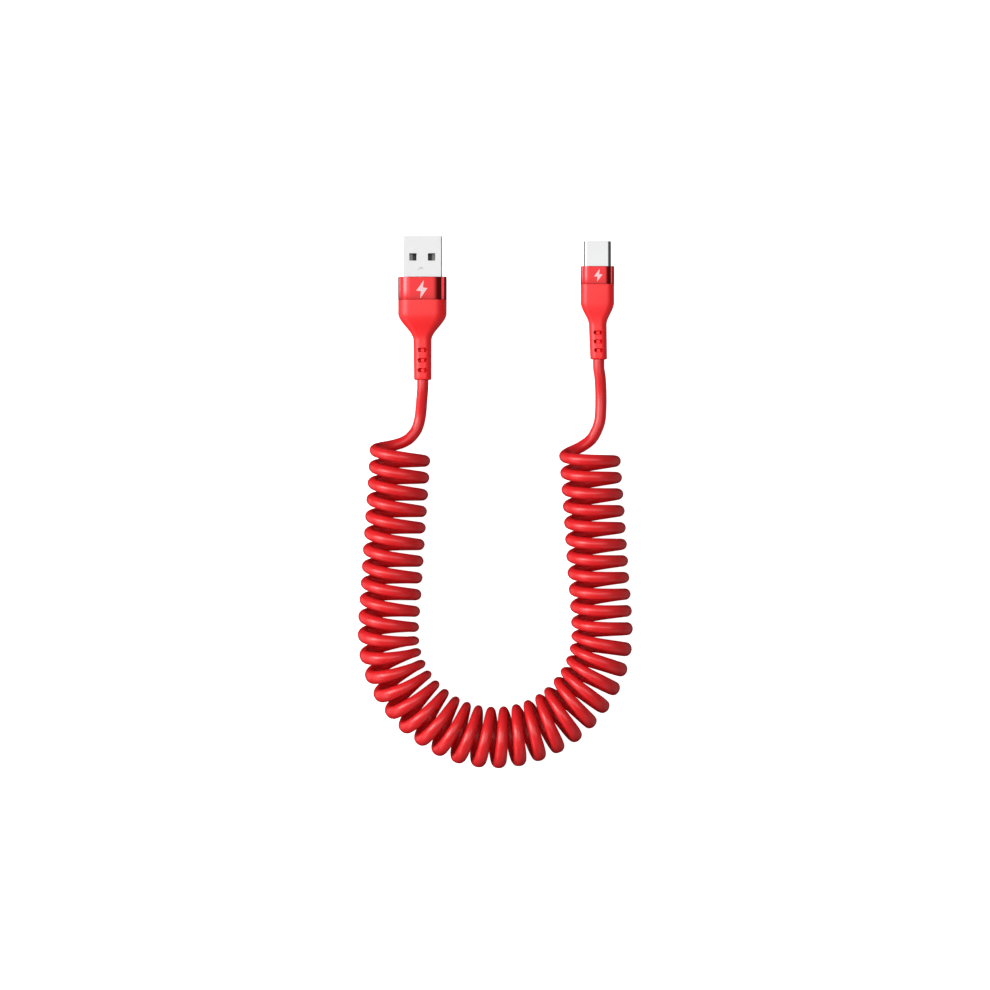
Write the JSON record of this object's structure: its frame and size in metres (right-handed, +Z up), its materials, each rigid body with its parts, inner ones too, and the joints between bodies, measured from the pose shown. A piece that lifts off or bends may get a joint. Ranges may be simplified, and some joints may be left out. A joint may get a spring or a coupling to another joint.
{
  "type": "coiled usb-c charging cable",
  "caption": "Coiled charging cable: a USB-A plug and a USB-C plug joined by a spring-wound round cord that lies in a U.",
  "frame": {"origin": "the floor below the middle of the two plugs together; the cord is not counted", "axes": "+Y the way both plugs point, +X from the USB-A plug to the USB-C plug, +Z up from the floor"},
  "size_m": [0.0839, 0.1626, 0.0188],
  "materials": {
    "cord": "satin smooth jacket",
    "grip": "soft satin moulding",
    "collar": "glossy red anodised",
    "usb_a_steel": "pale matt nickel",
    "usb_c_steel": "polished nickel",
    "insulator": "moulded black",
    "contact": "gold plated"
  },
  "bodies": {
    "root": {"lead_usb_a": "cord", "coil": "cord", "lead_usb_c": "cord", "usb_a_overmould": "grip", "usb_a_collar": "collar", "usb_a_shell": "usb_a_steel", "usb_a_tongue": "insulator", "usb_a_contact_1": "contact", "usb_a_contact_2": "contact", "usb_a_contact_3": "contact", "usb_a_contact_4": "contact", "usb_c_overmould": "grip", "usb_c_collar": "collar", "usb_c_shell": "usb_c_steel", "usb_c_liner": "insulator", "usb_c_contact_upper_1": "contact", "usb_c_contact_upper_2": "contact", "usb_c_contact_upper_3": "contact", "usb_c_contact_upper_4": "contact", "usb_c_contact_upper_5": "contact", "usb_c_contact_upper_6": "contact", "usb_c_contact_upper_7": "contact", "usb_c_contact_upper_8": "contact", "usb_c_contact_upper_9": "contact", "usb_c_contact_upper_10": "contact", "usb_c_contact_upper_11": "contact", "usb_c_contact_upper_12": "contact", "usb_c_contact_lower_1": "contact", "usb_c_contact_lower_2": "contact", "usb_c_contact_lower_3": "contact", "usb_c_contact_lower_4": "contact", "usb_c_contact_lower_5": "contact", "usb_c_contact_lower_6": "contact", "usb_c_contact_lower_7": "contact", "usb_c_contact_lower_8": "contact", "usb_c_contact_lower_9": "contact", "usb_c_contact_lower_10": "contact", "usb_c_contact_lower_11": "contact", "usb_c_contact_lower_12": "contact"}
  },
  "joints": []
}
